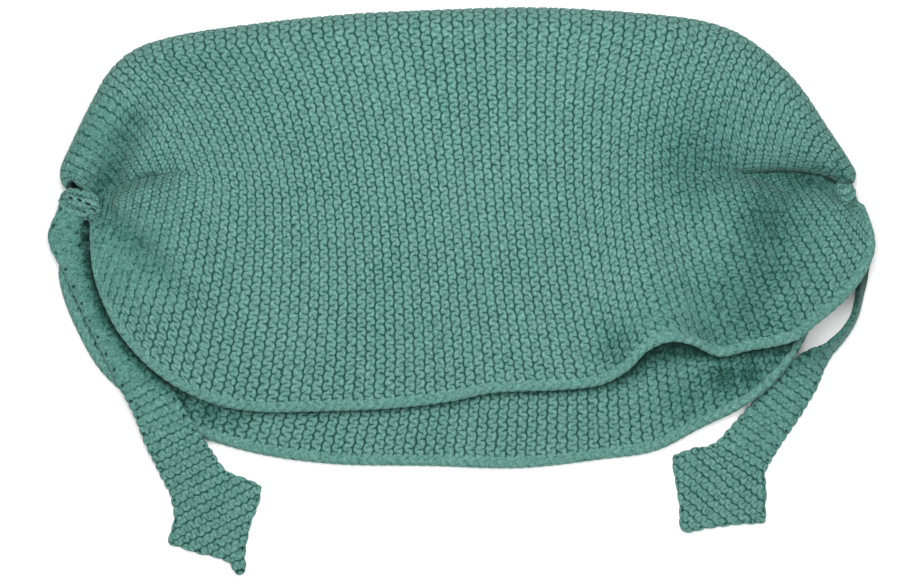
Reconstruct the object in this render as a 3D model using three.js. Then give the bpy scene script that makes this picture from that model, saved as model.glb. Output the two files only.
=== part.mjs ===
// Hand-knitted tie-back head cap, lying flat on its back.
// Millimetres. X runs from ear to ear, Y from the hems to the crown fold, and Z up from the surface below it.
import * as THREE from 'three';

// Driving dimensions
const WALL = 3.5;
const GAP = 0.55;
const GATHER_GAP = { extra: 1.1, reach: 0.09 };
const SURFACE_Z = WALL / 2;
const EDGING = { width: 4.4, thickness: 4.4, rim: 2.6 };
const ROLL = { radius: 9.5, gatheredRadius: 4.6, gatheredShare: 0.12 };
const CLEAR_INSIDE = 1.2;
const CROWN_GRID = { columns: 56, front: 18, roll: 6, back: 11, tightening: 0.35 };
const FIRST_RIDGE = 0.011;
const WALK_STEP = 0.004;
const NORMAL_STEP = 0.02;
const PUCKER = { height: 0.9, waves: 6, reach: 0.06 };
const GATHER = { flutes: 8, depth: 0.12, around: 24, along: 8 };
const TIE_STEPS_PER_ROW = 3;

// The front hem's outer edge, from the left gather to the right one. It lifts in two waves on the right.
const FRONT_HEM = {
  crowding: 0.1,
  rows: [
    { x: -176.5, y: 35, z: 10.5 },
    { x: -175.5, y: 23, z: 11.5 },
    { x: -173.5, y: 11, z: 11 },
    { x: -168.5, y: -3, z: 11 },
    { x: -160, y: -18.5, z: 11 },
    { x: -147, y: -33.5, z: 10.5 },
    { x: -133, y: -44, z: 10 },
    { x: -115.5, y: -52, z: 9.5 },
    { x: -96.5, y: -55.5, z: 9.5 },
    { x: -66, y: -55.5, z: 9.5 },
    { x: -30.5, y: -54, z: 9.5 },
    { x: -5, y: -51, z: 9.5 },
    { x: 14.5, y: -47, z: 9.5 },
    { x: 47, y: -45.5, z: 10 },
    { x: 66, y: -43, z: 11 },
    { x: 78, y: -36.5, z: 14 },
    { x: 87, y: -27.5, z: 18 },
    { x: 97.5, y: -23.5, z: 20 },
    { x: 108, y: -25, z: 17 },
    { x: 121, y: -30, z: 11 },
    { x: 133.5, y: -27.5, z: 13 },
    { x: 155, y: -23, z: 17 },
    { x: 166.5, y: -14.5, z: 16 },
    { x: 179.5, y: -3.5, z: 15 },
    { x: 189, y: 9, z: 15 },
    { x: 193.5, y: 21.5, z: 14 },
    { x: 191.5, y: 33, z: 11.5 },
    { x: 187.5, y: 39, z: 9.5 },
  ],
};

// The line along the middle of the front layer, between the two gathers.
const MIDDLE = {
  crowding: -0.04,
  rows: [
    { x: -174.5, y: 45, z: 9 },
    { x: -165, y: 46.5, z: 12 },
    { x: -150, y: 48.5, z: 14 },
    { x: -125, y: 48, z: 16.5 },
    { x: -90, y: 44, z: 18 },
    { x: -40, y: 40, z: 18.5 },
    { x: 0, y: 38.5, z: 18.5 },
    { x: 50, y: 39, z: 18.5 },
    { x: 90, y: 42, z: 18 },
    { x: 120, y: 45.5, z: 16.5 },
    { x: 145, y: 49, z: 14.5 },
    { x: 162, y: 50, z: 12.5 },
    { x: 173, y: 49, z: 10.5 },
    { x: 181, y: 47.5, z: 9 },
  ],
};

// The outline of the crown fold, seen from above.
const CROWN_FOLD = {
  crowding: 0,
  rows: [
    { x: -184.5, y: 51, z: 0 },
    { x: -188, y: 53.5, z: 0 },
    { x: -189, y: 59.5, z: 0 },
    { x: -184, y: 69.5, z: 0 },
    { x: -174, y: 89, z: 0 },
    { x: -165.5, y: 103.5, z: 0 },
    { x: -154.5, y: 113.5, z: 0 },
    { x: -136.5, y: 120, z: 0 },
    { x: -99, y: 126, z: 0 },
    { x: -56.5, y: 130.5, z: 0 },
    { x: -9.5, y: 133, z: 0 },
    { x: 37.5, y: 134, z: 0 },
    { x: 89, y: 131, z: 0 },
    { x: 115, y: 127.5, z: 0 },
    { x: 133.5, y: 120.5, z: 0 },
    { x: 155, y: 102.5, z: 0 },
    { x: 173.5, y: 77, z: 0 },
    { x: 184, y: 62, z: 0 },
    { x: 187.5, y: 56, z: 0 },
    { x: 186.5, y: 52, z: 0 },
  ],
};

// The back hem's outer edge. It curls up from the surface on the right.
const BACK_HEM = {
  crowding: 0.14,
  rows: [
    { x: -179, y: 34.5, z: 2.3 },
    { x: -186.5, y: 22.5, z: 2.3 },
    { x: -189.5, y: 11, z: 2.3 },
    { x: -187.5, y: -0.5, z: 2.3 },
    { x: -180.5, y: -17.5, z: 2.3 },
    { x: -169.5, y: -36, z: 2.3 },
    { x: -153, y: -51, z: 2.3 },
    { x: -132, y: -63.5, z: 2.3 },
    { x: -99, y: -74.5, z: 2.3 },
    { x: -61.5, y: -80, z: 2.3 },
    { x: -14.5, y: -81, z: 2.3 },
    { x: 28, y: -82, z: 2.3 },
    { x: 65.5, y: -78, z: 2.3 },
    { x: 91.5, y: -74, z: 2.6 },
    { x: 112.5, y: -63.5, z: 4 },
    { x: 133.5, y: -53, z: 6 },
    { x: 148, y: -41, z: 7 },
    { x: 159, y: -26.5, z: 6.5 },
    { x: 166, y: -12.5, z: 4.5 },
    { x: 172, y: 1.5, z: 3 },
    { x: 177, y: 17, z: 2.3 },
    { x: 179.5, y: 30, z: 2.3 },
    { x: 178.5, y: 40, z: 2.3 },
  ],
};

// Folds pressed into the front layer: where each starts and ends, its half width and how deep it is.
// A negative depth is a raised pleat.
const FOLDS = [
  { x1: -172, y1: 45, x2: -143, y2: 95, width: 7, depth: 7.5 },
  { x1: -166, y1: 52, x2: -126, y2: 57, width: 5, depth: 2.5 },
  { x1: -165, y1: 44, x2: -125, y2: 48, width: 5, depth: -2.2 },
  { x1: -168, y1: 37, x2: -112, y2: -18, width: 7, depth: 5.5 },
  { x1: -160, y1: 8, x2: -138, y2: -18, width: 11, depth: -3.2 },
  { x1: -176, y1: 66, x2: -158, y2: 100, width: 9, depth: -2.5 },
  { x1: -135, y1: 108, x2: -70, y2: 98, width: 8, depth: 2.6 },
  { x1: 184, y1: 52, x2: 108, y2: 60, width: 7, depth: 8.5 },
  { x1: 160, y1: 56, x2: 142, y2: 12, width: 9, depth: 3.4 },
  { x1: 108, y1: 56, x2: 130, y2: 14, width: 9, depth: 2.2 },
  { x1: 176, y1: 68, x2: 128, y2: 76, width: 9, depth: -3 },
  { x1: 172, y1: 24, x2: 178, y2: 6, width: 12, depth: -2.5 },
];

// Each tie as knitted, from its root at the gather to the far corner of its square end. The left and right
// half widths are those seen when following the tie from its root; turn tips its right side up, in degrees.
const LEFT_TIE = [
  { x: -180.5, y: 35.6, z: 7, left: 5, right: 5, turn: 0 },
  { x: -184.5, y: 25.5, z: 6.8, left: 8.5, right: 9.9, turn: 0 },
  { x: -181, y: 12.5, z: 6.9, left: 8, right: 6.5, turn: 0 },
  { x: -175, y: 0, z: 6.9, left: 7.5, right: 7.5, turn: 3 },
  { x: -165.5, y: -15.5, z: 6.7, left: 8.5, right: 9.5, turn: 4 },
  { x: -153, y: -35, z: 6.5, left: 9, right: 11, turn: 4 },
  { x: -142.5, y: -53.5, z: 6.7, left: 10.5, right: 11.5, turn: 0 },
  { x: -136, y: -67.5, z: 6.8, left: 12, right: 12.5, turn: -5 },
  { x: -131.5, y: -75.5, z: 5.4, left: 13, right: 13, turn: -7 },
  { x: -128, y: -82, z: 3.2, left: 13.5, right: 13.5, turn: -4 },
  { x: -124, y: -89, z: 1.85, left: 13.5, right: 13.6, turn: 0 },
  { x: -121.4, y: -94.4, z: 1.75, left: 18, right: 15, turn: 0 },
  { x: -119, y: -99, z: 1.75, left: 22.5, right: 17, turn: 0 },
  { x: -116.5, y: -103.7, z: 1.75, left: 26.6, right: 23, turn: 0 },
  { x: -115, y: -106.4, z: 1.75, left: 24.2, right: 26, turn: 0 },
  { x: -111.5, y: -113.2, z: 1.75, left: 16.5, right: 17.4, turn: 0 },
  { x: -108, y: -119.3, z: 1.75, left: 9.4, right: 9.4, turn: 0 },
  { x: -104.5, y: -125.5, z: 1.75, left: 3.2, right: 3, turn: 0 },
  { x: -102.4, y: -133.6, z: 1.75, left: 1.8, right: 1.8, turn: 0 },
];

const RIGHT_TIE = [
  { x: 187.3, y: 40.6, z: 4, left: 3, right: 3, turn: 0 },
  { x: 189.5, y: 25, z: 3.6, left: 3.5, right: 4, turn: 10 },
  { x: 189.5, y: 11, z: 5.2, left: 5, right: 5, turn: 45 },
  { x: 188, y: -0.5, z: 6.4, left: 6, right: 6, turn: 68 },
  { x: 185, y: -12, z: 6.8, left: 6.5, right: 6.5, turn: 74 },
  { x: 180, y: -20, z: 6.8, left: 6.5, right: 6.5, turn: 70 },
  { x: 172.5, y: -27.5, z: 7.1, left: 7, right: 7, turn: 62 },
  { x: 165.5, y: -34, z: 5.5, left: 7.5, right: 7.5, turn: 27 },
  { x: 160.5, y: -42, z: 1.9, left: 8.5, right: 8.2, turn: 0 },
  { x: 154, y: -52.5, z: 1.75, left: 9.7, right: 9.5, turn: 0 },
  { x: 145.5, y: -64.5, z: 1.75, left: 11.2, right: 11.4, turn: 0 },
  { x: 136.5, y: -75.5, z: 1.75, left: 12, right: 13, turn: 0 },
  { x: 132.9, y: -79.5, z: 1.75, left: 12, right: 14.5, turn: 0 },
  { x: 128.5, y: -84.5, z: 1.75, left: 19, right: 18.5, turn: 0 },
  { x: 123.6, y: -90, z: 1.75, left: 27.4, right: 23, turn: 0 },
  { x: 119.4, y: -94.7, z: 1.75, left: 21.6, right: 26.6, turn: 0 },
  { x: 114, y: -101, z: 1.75, left: 13.5, right: 16.8, turn: 0 },
  { x: 108.7, y: -107, z: 1.75, left: 6.4, right: 7.6, turn: 0 },
  { x: 104, y: -112, z: 1.9, left: 2.2, right: 2.2, turn: 0 },
];

// The bunched side edges of the panel, each drawn up tight and bound.
const LEFT_GATHER = { x: -179, y: 44, z: 6, long: 7.4, wide: 8.1, high: 5.6, heading: -14 };
const RIGHT_GATHER = { x: 185.5, y: 47.6, z: 6, long: 5.3, wide: 6.8, high: 5.6, heading: 22 };

const COTTON = { color: '#60918a', roughness: 0.9, metalness: 0 };

const smoothstep = THREE.MathUtils.smoothstep;

/** A smooth curve through a guide's rows, walked by the share of knitted ridges passed. */
class Guide {
  constructor({ crowding, rows }) {
    this.crowding = crowding;
    this.curve = new THREE.CatmullRomCurve3(rows.map(({ x, y, z }) => new THREE.Vector3(x, y, z)));
  }

  /** The point where the ridge at this share meets the guide. */
  at(share) {
    return this.curve.getPointAt(this.lengthShare(share));
  }

  /** The guide's direction at that ridge. */
  along(share) {
    return this.curve.getTangentAt(this.lengthShare(share));
  }

  lengthShare(share) {
    const shifted = share + (this.crowding * Math.sin(2 * Math.PI * share)) / (2 * Math.PI);
    return THREE.MathUtils.clamp(shifted, 0, 1);
  }
}

const frontHem = new Guide(FRONT_HEM);
const middle = new Guide(MIDDLE);
const crownFold = new Guide(CROWN_FOLD);
const backHem = new Guide(BACK_HEM);

/** The parabola through three points at 0, one half and 1. */
function arcThrough(start, half, end, t) {
  return new THREE.Vector3()
    .addScaledVector(start, (1 - t) * (1 - 2 * t))
    .addScaledVector(half, 4 * t * (1 - t))
    .addScaledVector(end, t * (2 * t - 1));
}

/** The radius of the crown fold's middle surface, smaller where the panel is gathered. */
function rollRadius(ridge) {
  const fromEnd = Math.min(ridge, 1 - ridge);
  const open = smoothstep(fromEnd, 0, ROLL.gatheredShare);
  return THREE.MathUtils.lerp(ROLL.gatheredRadius, ROLL.radius, open);
}

/** Where the fold's roll starts on a ridge, its outward direction and its radius. */
function rollAt(ridge) {
  const radius = rollRadius(ridge);
  const along = crownFold.along(ridge);
  const outward = new THREE.Vector3(-along.y, along.x, 0).normalize();
  const base = crownFold.at(ridge).addScaledVector(outward, -(radius + WALL / 2));
  base.z = SURFACE_Z;
  return { base, outward, radius };
}

/** How far one fold lowers the cloth at a place. */
function foldDrop(fold, x, y) {
  const run = new THREE.Vector2(fold.x2 - fold.x1, fold.y2 - fold.y1);
  const from = new THREE.Vector2(x - fold.x1, y - fold.y1);
  const share = THREE.MathUtils.clamp(from.dot(run) / run.lengthSq(), 0, 1);
  const away = from.addScaledVector(run, -share).length() / fold.width;
  const fade = fold.depth > 0 ? 1 - share * share : Math.sin(Math.PI * (0.15 + 0.7 * share));
  return fold.depth * fade * Math.exp(-away * away);
}

/** A point of the front layer's middle surface: t is 0 at the hem's outer edge and 1 at the roll. */
function frontPoint(ridge, t) {
  const roll = rollAt(ridge);
  const top = roll.base.clone();
  top.z += 2 * roll.radius;
  const point = arcThrough(frontHem.at(ridge), middle.at(ridge), top, t);
  const loose = (1 - smoothstep(t, 0.82, 1)) * smoothstep(t, 0, 0.3);
  const drop = FOLDS.reduce((sum, fold) => sum + foldDrop(fold, point.x, point.y), 0);
  const fromEnd = Math.min(ridge, 1 - ridge) / PUCKER.reach;
  const pucker = PUCKER.height * Math.sin(2 * Math.PI * PUCKER.waves * t) * Math.exp(-fromEnd * fromEnd);
  point.z = Math.max(point.z - (drop - pucker) * loose, WALL + CLEAR_INSIDE + WALL / 2);
  return point;
}

/** A point of the crown fold: t runs from 0 on the front layer round to 1 on the back layer. */
function rollPoint(ridge, t) {
  const { base, outward, radius } = rollAt(ridge);
  const point = base.addScaledVector(outward, radius * Math.sin(Math.PI * t));
  point.z = SURFACE_Z + radius * (1 + Math.cos(Math.PI * t));
  return point;
}

/** A point of the back layer: t is 0 at the roll and 1 at the hem's outer edge. */
function backPoint(ridge, t) {
  const hem = backHem.at(ridge);
  const point = arcThrough(rollAt(ridge).base, middle.at(ridge), hem, t);
  point.z = THREE.MathUtils.lerp(SURFACE_Z, hem.z, smoothstep(t, 0.72, 0.98));
  return point;
}

/** The share of a ridge's arc that a distance in from a hem takes up. */
function shareIn(ridge, distance, surfacePoint, hemShare) {
  const towards = hemShare === 0 ? WALK_STEP : -WALK_STEP;
  let walked = 0;
  let share = 0;
  let here = surfacePoint(ridge, hemShare);
  while (walked < distance) {
    share += WALK_STEP;
    const next = surfacePoint(ridge, hemShare + (towards * share) / WALK_STEP);
    walked += next.distanceTo(here);
    here = next;
  }
  return share * (walked > 0 ? distance / walked : 0);
}

/** A closed slab of varying thickness round a grid of points on its middle surface. */
function slab(columns, rows, pointAt, thicknessAt) {
  const clamp = THREE.MathUtils.clamp;
  const normalAt = (i, j) => {
    const across = pointAt(clamp(i + NORMAL_STEP, 0, columns), j)
      .sub(pointAt(clamp(i - NORMAL_STEP, 0, columns), j));
    const up = pointAt(i, clamp(j + NORMAL_STEP, 0, rows)).sub(pointAt(i, clamp(j - NORMAL_STEP, 0, rows)));
    return across.cross(up).normalize();
  };
  const faces = [[], []];
  for (let i = 0; i <= columns; i += 1) {
    const column = [[], []];
    for (let j = 0; j <= rows; j += 1) {
      const point = pointAt(i, j);
      const half = normalAt(i, j).multiplyScalar(thicknessAt(i, j) / 2);
      column[0].push(point.clone().add(half));
      column[1].push(point.sub(half));
    }
    faces[0].push(column[0]);
    faces[1].push(column[1]);
  }
  return closedGrid(faces, columns, rows);
}

/** Joins an upper and a lower grid of points into one closed mesh. */
function closedGrid(faces, columns, rows) {
  const positions = [];
  faces.forEach((face) => face.forEach((column) => column.forEach((p) => positions.push(p.x, p.y, p.z))));
  const count = (columns + 1) * (rows + 1);
  const top = (i, j) => i * (rows + 1) + j;
  const under = (i, j) => count + top(i, j);
  const index = [];
  const quad = (a, b, c, d) => index.push(a, b, c, a, c, d);
  for (let i = 0; i < columns; i += 1) {
    for (let j = 0; j < rows; j += 1) {
      quad(top(i, j), top(i + 1, j), top(i + 1, j + 1), top(i, j + 1));
      quad(under(i, j), under(i, j + 1), under(i + 1, j + 1), under(i + 1, j));
    }
    quad(under(i, 0), under(i + 1, 0), top(i + 1, 0), top(i, 0));
    quad(top(i, rows), top(i + 1, rows), under(i + 1, rows), under(i, rows));
  }
  for (let j = 0; j < rows; j += 1) {
    quad(top(0, j), top(0, j + 1), under(0, j + 1), under(0, j));
    quad(under(columns, j), under(columns, j + 1), top(columns, j + 1), top(columns, j));
  }
  const geometry = new THREE.BufferGeometry();
  geometry.setAttribute('position', new THREE.Float32BufferAttribute(positions, 3));
  geometry.setIndex(index);
  geometry.computeVertexNormals();
  return geometry;
}

/** The ridge that a column of the grid follows. Columns stand closer together near the gathers. */
function ridgeOf(column) {
  const share = column / CROWN_GRID.columns;
  const eased = share - (CROWN_GRID.tightening * Math.sin(2 * Math.PI * share)) / (2 * Math.PI);
  return THREE.MathUtils.lerp(FIRST_RIDGE, 1 - FIRST_RIDGE, eased);
}

/** The knitted panel: front layer, crown fold and back layer in one hollow wall, open between its hems. */
function crownGeometry() {
  const { columns, front, roll, back } = CROWN_GRID;
  const pointAt = (i, j) => {
    const ridge = ridgeOf(i);
    const nearGather = 1 - smoothstep(Math.min(ridge, 1 - ridge), 0, GATHER_GAP.reach);
    const inset = EDGING.width + GAP + GATHER_GAP.extra * nearGather;
    if (j <= front) {
      const first = shareIn(ridge, inset, frontPoint, 0);
      return frontPoint(ridge, THREE.MathUtils.lerp(first, 1, j / front));
    }
    if (j <= front + roll) {
      return rollPoint(ridge, (j - front) / roll);
    }
    const last = 1 - shareIn(ridge, inset, backPoint, 1);
    return backPoint(ridge, ((j - front - roll) / back) * last);
  };
  const rows = front + roll + back;
  return slab(columns, rows, pointAt, (i, j) => (j === 0 || j === rows ? EDGING.rim : WALL));
}

/** A rounded edging worked along one hem. */
function edgingGeometry(surfacePoint, hemShare) {
  const thickness = [EDGING.rim, EDGING.thickness, EDGING.rim];
  const across = thickness.length - 1;
  const pointAt = (i, j) => {
    const ridge = ridgeOf(i);
    const fromHem = hemShare === 0 ? j / across : 1 - j / across;
    const share = shareIn(ridge, EDGING.width * fromHem, surfacePoint, hemShare);
    return surfacePoint(ridge, hemShare === 0 ? share : 1 - share);
  };
  return slab(CROWN_GRID.columns, across, pointAt, (i, j) => thickness[j]);
}

/** A knitted tie with its square end, from a table of rows along it. */
function tieGeometry(rows) {
  const path = new THREE.CatmullRomCurve3(rows.map(({ x, y, z }) => new THREE.Vector3(x, y, z)));
  const steps = (rows.length - 1) * TIE_STEPS_PER_ROW;
  const up = new THREE.Vector3(0, 0, 1);
  const pointAt = (i, j) => {
    const at = (i / steps) * (rows.length - 1);
    const row = Math.min(Math.floor(at), rows.length - 2);
    const between = (name) => THREE.MathUtils.lerp(rows[row][name], rows[row + 1][name], at - row);
    const along = path.getTangent(i / steps);
    const right = along.clone().cross(up).normalize();
    const level = right.clone().cross(along);
    const turn = THREE.MathUtils.degToRad(between('turn'));
    const side = right.multiplyScalar(Math.cos(turn)).addScaledVector(level, Math.sin(turn));
    const reach = THREE.MathUtils.lerp(-between('left'), between('right'), j / 2);
    return path.getPoint(i / steps).addScaledVector(side, reach);
  };
  return slab(steps, 2, pointAt, () => WALL);
}

/** The side edge of the panel drawn up into a fluted bunch. */
function gatherGeometry({ long, wide, high }) {
  const geometry = new THREE.SphereGeometry(1, GATHER.around, GATHER.along);
  geometry.rotateZ(-Math.PI / 2);
  const position = geometry.attributes.position;
  for (let k = 0; k < position.count; k += 1) {
    const y = position.getY(k);
    const z = position.getZ(k);
    const angle = Math.atan2(z, y);
    const flute = 1 - GATHER.depth * (0.5 - 0.5 * Math.cos(GATHER.flutes * angle));
    position.setXYZ(k, position.getX(k) * long, y * wide * flute, z * high * flute);
  }
  geometry.computeVertexNormals();
  return geometry;
}

const cap = new THREE.Group();

function addPiece(name, geometry) {
  const mesh = new THREE.Mesh(geometry, new THREE.MeshStandardMaterial(COTTON));
  mesh.name = name;
  cap.add(mesh);
  return mesh;
}

function addGather(name, gather) {
  const mesh = addPiece(name, gatherGeometry(gather));
  mesh.position.set(gather.x, gather.y, gather.z);
  mesh.rotation.z = THREE.MathUtils.degToRad(gather.heading);
}

addPiece('crown', crownGeometry());
addPiece('front_edging', edgingGeometry(frontPoint, 0));
addPiece('back_edging', edgingGeometry(backPoint, 1));
addGather('left_gather', LEFT_GATHER);
addGather('right_gather', RIGHT_GATHER);
addPiece('left_tie', tieGeometry(LEFT_TIE));
addPiece('right_tie', tieGeometry(RIGHT_TIE));

export default cap;
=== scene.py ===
"""Looks of a hand-knitted tie-back head cap that lies flat on its back on a pale floor."""
import logging
import math
from dataclasses import dataclass, field
from enum import Enum

import bmesh
import bpy
import numpy as np
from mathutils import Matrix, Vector


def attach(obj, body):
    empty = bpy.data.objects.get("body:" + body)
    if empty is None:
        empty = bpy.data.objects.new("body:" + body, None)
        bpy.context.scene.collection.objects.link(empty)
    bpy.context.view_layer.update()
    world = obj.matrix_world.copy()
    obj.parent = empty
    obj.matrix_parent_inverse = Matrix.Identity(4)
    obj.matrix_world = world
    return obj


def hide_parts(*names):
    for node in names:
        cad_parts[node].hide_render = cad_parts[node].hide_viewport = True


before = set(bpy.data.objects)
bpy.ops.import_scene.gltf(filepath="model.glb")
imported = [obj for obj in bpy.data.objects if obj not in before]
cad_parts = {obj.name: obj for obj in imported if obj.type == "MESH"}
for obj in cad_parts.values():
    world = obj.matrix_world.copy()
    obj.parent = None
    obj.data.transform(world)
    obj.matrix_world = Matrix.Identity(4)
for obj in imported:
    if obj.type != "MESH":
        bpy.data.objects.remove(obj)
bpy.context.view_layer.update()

log = logging.getLogger("cap")

MM = 0.001
WALL = 3.5
SURFACE_Z = WALL / 2
ROLL_RADIUS = 9.5
GATHERED_RADIUS = 4.6
GATHERED_SHARE = 0.12
CLEAR_INSIDE = 1.2
EDGING_WIDTH = 4.4
TUCKED_IN = 1.6
FIRST_RIDGE = 0.011
RIDGES = 90
STITCHES = 91
SEED = 7


@dataclass(frozen=True)
class GuideTable:
    """The control points of one guide line, in mm, and how closely ridges crowd at its middle."""

    crowding: float
    rows: tuple[tuple[float, float, float], ...]


FRONT_HEM = GuideTable(
    crowding=0.1,
    rows=(
        (-174.3, 35, 10.5), (-173.6, 23, 11.5), (-172.3, 11, 11), (-168, -3, 11),
        (-160, -18.5, 11), (-147, -33.5, 10.5), (-133, -44, 10), (-115.5, -52, 9.5),
        (-96.5, -55.5, 9.5), (-66, -55.5, 9.5), (-30.5, -54, 9.5), (-5, -51, 9.5),
        (14.5, -47, 9.5), (47, -45.5, 10), (66, -43, 11), (78, -36.5, 14),
        (87, -27.5, 18), (97.5, -23.5, 20), (108, -25, 17), (121, -30, 11),
        (133.5, -27.5, 13), (155, -23, 17), (166.5, -14.5, 16), (179.5, -3.5, 15),
        (189, 9, 15), (193.5, 21.5, 14), (190.2, 38, 11.5), (186.6, 46, 9.5),
    ),
)
MIDDLE = GuideTable(
    crowding=-0.04,
    rows=(
        (-176, 44.5, 9), (-167, 47.5, 12), (-150, 54, 14.5), (-131, 55, 16.5),
        (-105, 49, 17.5), (-75, 43, 18.3), (-40, 40, 18.5), (0, 38.5, 18.5),
        (50, 40, 18.5), (80, 46, 18), (108, 53.5, 17.3), (130, 57, 16),
        (150, 58, 14.3), (166, 56, 12.5), (176, 51.5, 10.5), (182.5, 48, 9),
    ),
)
CROWN_FOLD = GuideTable(
    crowding=0.0,
    rows=(
        (-184.5, 47.5, 0), (-188, 50, 0), (-189.3, 57, 0), (-184, 69.5, 0),
        (-174, 89, 0), (-165.5, 103.5, 0), (-154.5, 113.5, 0), (-136.5, 120, 0),
        (-99, 126, 0), (-56.5, 130.5, 0), (-9.5, 133, 0), (37.5, 134, 0),
        (89, 131, 0), (115, 127.5, 0), (133.5, 120.5, 0), (155, 102.5, 0),
        (173.5, 77, 0), (184, 62, 0), (187.3, 55.5, 0), (185.3, 49.5, 0),
    ),
)
BACK_HEM = GuideTable(
    crowding=0.14,
    rows=(
        (-179, 34.5, 2.3), (-186.5, 22.5, 2.3), (-189.5, 11, 2.3), (-187.5, -0.5, 2.3),
        (-180.5, -17.5, 2.3), (-169.5, -36, 2.3), (-153, -51, 2.3), (-132, -63.5, 2.3),
        (-99, -74.5, 2.3), (-61.5, -80, 2.3), (-14.5, -81, 2.3), (28, -82, 2.3),
        (65.5, -78, 2.3), (91.5, -74, 2.6), (112.5, -63.5, 4), (133.5, -53, 6),
        (148, -41, 7), (159, -26.5, 6.5), (166, -12.5, 4.5), (172, 1.5, 3),
        (177, 17, 2.3), (179.5, 30, 2.3), (178.5, 40, 2.3),
    ),
)


@dataclass(frozen=True)
class Fold:
    """A fold pressed into the front layer, in mm. A negative depth is a raised pleat."""

    x1: float
    y1: float
    x2: float
    y2: float
    width: float
    depth: float


FOLDS = tuple(Fold(*row) for row in (
    (-172, 45, -143, 95, 7.5, 9), (-166, 52, -126, 57, 5, 2.5), (-165, 44, -125, 48, 5, -2.2),
    (-168, 37, -112, -18, 7, 5.5), (-160, 8, -138, -18, 11, -3.2), (-176, 66, -158, 100, 9, -2.5),
    (-135, 108, -70, 98, 8, 2.6), (184, 52, 108, 60, 7, 8.5), (158, 50, 134, -22, 11, 4.4),
    (92, 66, 138, 34, 11, 3.2), (176, 68, 128, 76, 9, -3), (172, 24, 178, 6, 12, -2.5),
))


@dataclass(frozen=True)
class Crease:
    """A sharp crease that the cloth above it hangs over, in mm, along the points of a line."""

    points: tuple[tuple[float, float], ...]
    depth: float
    above: float
    below: float
    overhang: float
    shade: float
    line_width: float = 1.8
    dusk: float = 0.4
    dusk_below: float = 5.0
    dusk_width: float = 7.0
    lip_width: float = 7.0

    def over(self, x: np.ndarray, y: np.ndarray) -> tuple[np.ndarray, np.ndarray]:
        """Find where some places lie beside the crease.

        Args:
            x: The places' x.
            y: Their y.

        Returns:
            How far they lie above the crease, and how marked it is there, from 0 to 1.
        """
        line = np.array(self.points)
        order = np.argsort(line[:, 0])
        over = y - np.interp(x, line[order, 0], line[order, 1])
        reach = (x - line[0, 0]) / (line[-1, 0] - line[0, 0])
        return over, smoothstep(reach, -0.06, 0.04) * (1 - smoothstep(reach, 0.5, 1.0))

    def shelter(self, x: np.ndarray, y: np.ndarray) -> np.ndarray:
        """The shade of the crease: a dark line below its lip, and a dusk below that.

        Args:
            x: The places' x.
            y: Their y.

        Returns:
            Its depth, from 0 to 1.
        """
        over, fade = self.over(x, y)
        line = np.exp(-((over / self.line_width + 0.5) ** 2))
        dusk = self.dusk * np.exp(-(((over + self.dusk_below) / self.dusk_width) ** 2))
        return fade * np.maximum(line, dusk)

    def press(self, x: np.ndarray, y: np.ndarray) -> tuple[np.ndarray, np.ndarray]:
        """Press the crease into the cloth.

        Args:
            x: The places' x.
            y: Their y.

        Returns:
            How far it lowers them, and how far it draws them over itself, down the page.
        """
        over, fade = self.over(x, y)
        wall = np.exp(-((over / self.above) ** 4))
        fall = np.where(over > 0, wall, np.exp(-((over / self.below) ** 2)))
        past = np.maximum(over - self.above, 0) / self.lip_width
        lip = smoothstep(over, -0.5, self.above) * np.exp(-(past**2))
        return self.depth * fade * fall, self.overhang * fade * lip


CREASES = (
    Crease(
        points=((186, 48.5), (178, 52.2), (170.4, 56.2), (160, 57.9), (150, 58.3), (130, 57), (112, 54)),
        depth=8, above=3, below=9, overhang=2.9, shade=1.0,
    ),
    Crease(
        points=((-170, 46.5), (-159, 51), (-147.5, 56), (-131, 56), (-121, 53)),
        depth=3.2, above=2, below=7, overhang=2.2, shade=0.4,
    ),
)


@dataclass(frozen=True)
class SmoothPatch:
    """A place where the cloth is drawn so tight that its ridges lie almost flat, in mm."""

    x: float
    y: float
    radius: float
    share: float


SMOOTH_PATCHES = tuple(SmoothPatch(*row) for row in (
    (-157, 17, 24, 0.75), (-172, 72, 24, 0.55), (-150, 60, 60, 0.2), (150, 35, 75, 0.24),
    (120, -60, 60, 0.26), (108, -14, 30, 0.4), (146, 36, 20, 0.4),
))


@dataclass(frozen=True)
class DarkPlace:
    """A gap or hollow that little light reaches, in mm: its shade, and how high up that reaches."""

    x: float
    y: float
    radius: float
    height: float
    share: float = 0.95


DARK_PLACES = tuple(DarkPlace(*row) for row in (
    (-177.5, 33, 4.5, 9), (-176, 26, 4.5, 9), (-173.5, 17, 4.5, 8.5), (-171.5, 8, 4.5, 8.5),
    (144, 32, 20, 30, 0.5), (142, 10, 24, 30, 0.4), (131, -8, 26, 30, 0.42), (118, -24, 20, 30, 0.36),
    (152, -20, 16, 30, 0.3), (74, -26, 13, 30, 0.4), (148, -34, 12, 10, 0.5), (136, -38, 12, 10, 0.6),
    (124, -40, 12, 10, 0.6), (112, -46, 13, 10, 0.35), (104, -52, 14, 10, 0.35), (112, 60, 24, 30, 0.38),
    (-131, -50, 9, 8, 0.7), (-118, -56, 8, 8, 0.55), (-106, -59, 7, 8, 0.4), (-153, 80, 7, 30, 0.4),
    (-157, 72, 7, 30, 0.45), (-161, 64, 6, 30, 0.35),
))


@dataclass(frozen=True)
class TieRow:
    """One row of a tie, in mm: its middle, its half widths and its tilt in degrees.

    The half widths are those on the left and on the right as the tie runs away from its gather.
    """

    x: float
    y: float
    z: float
    left: float
    right: float
    turn: float = 0.0


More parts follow.
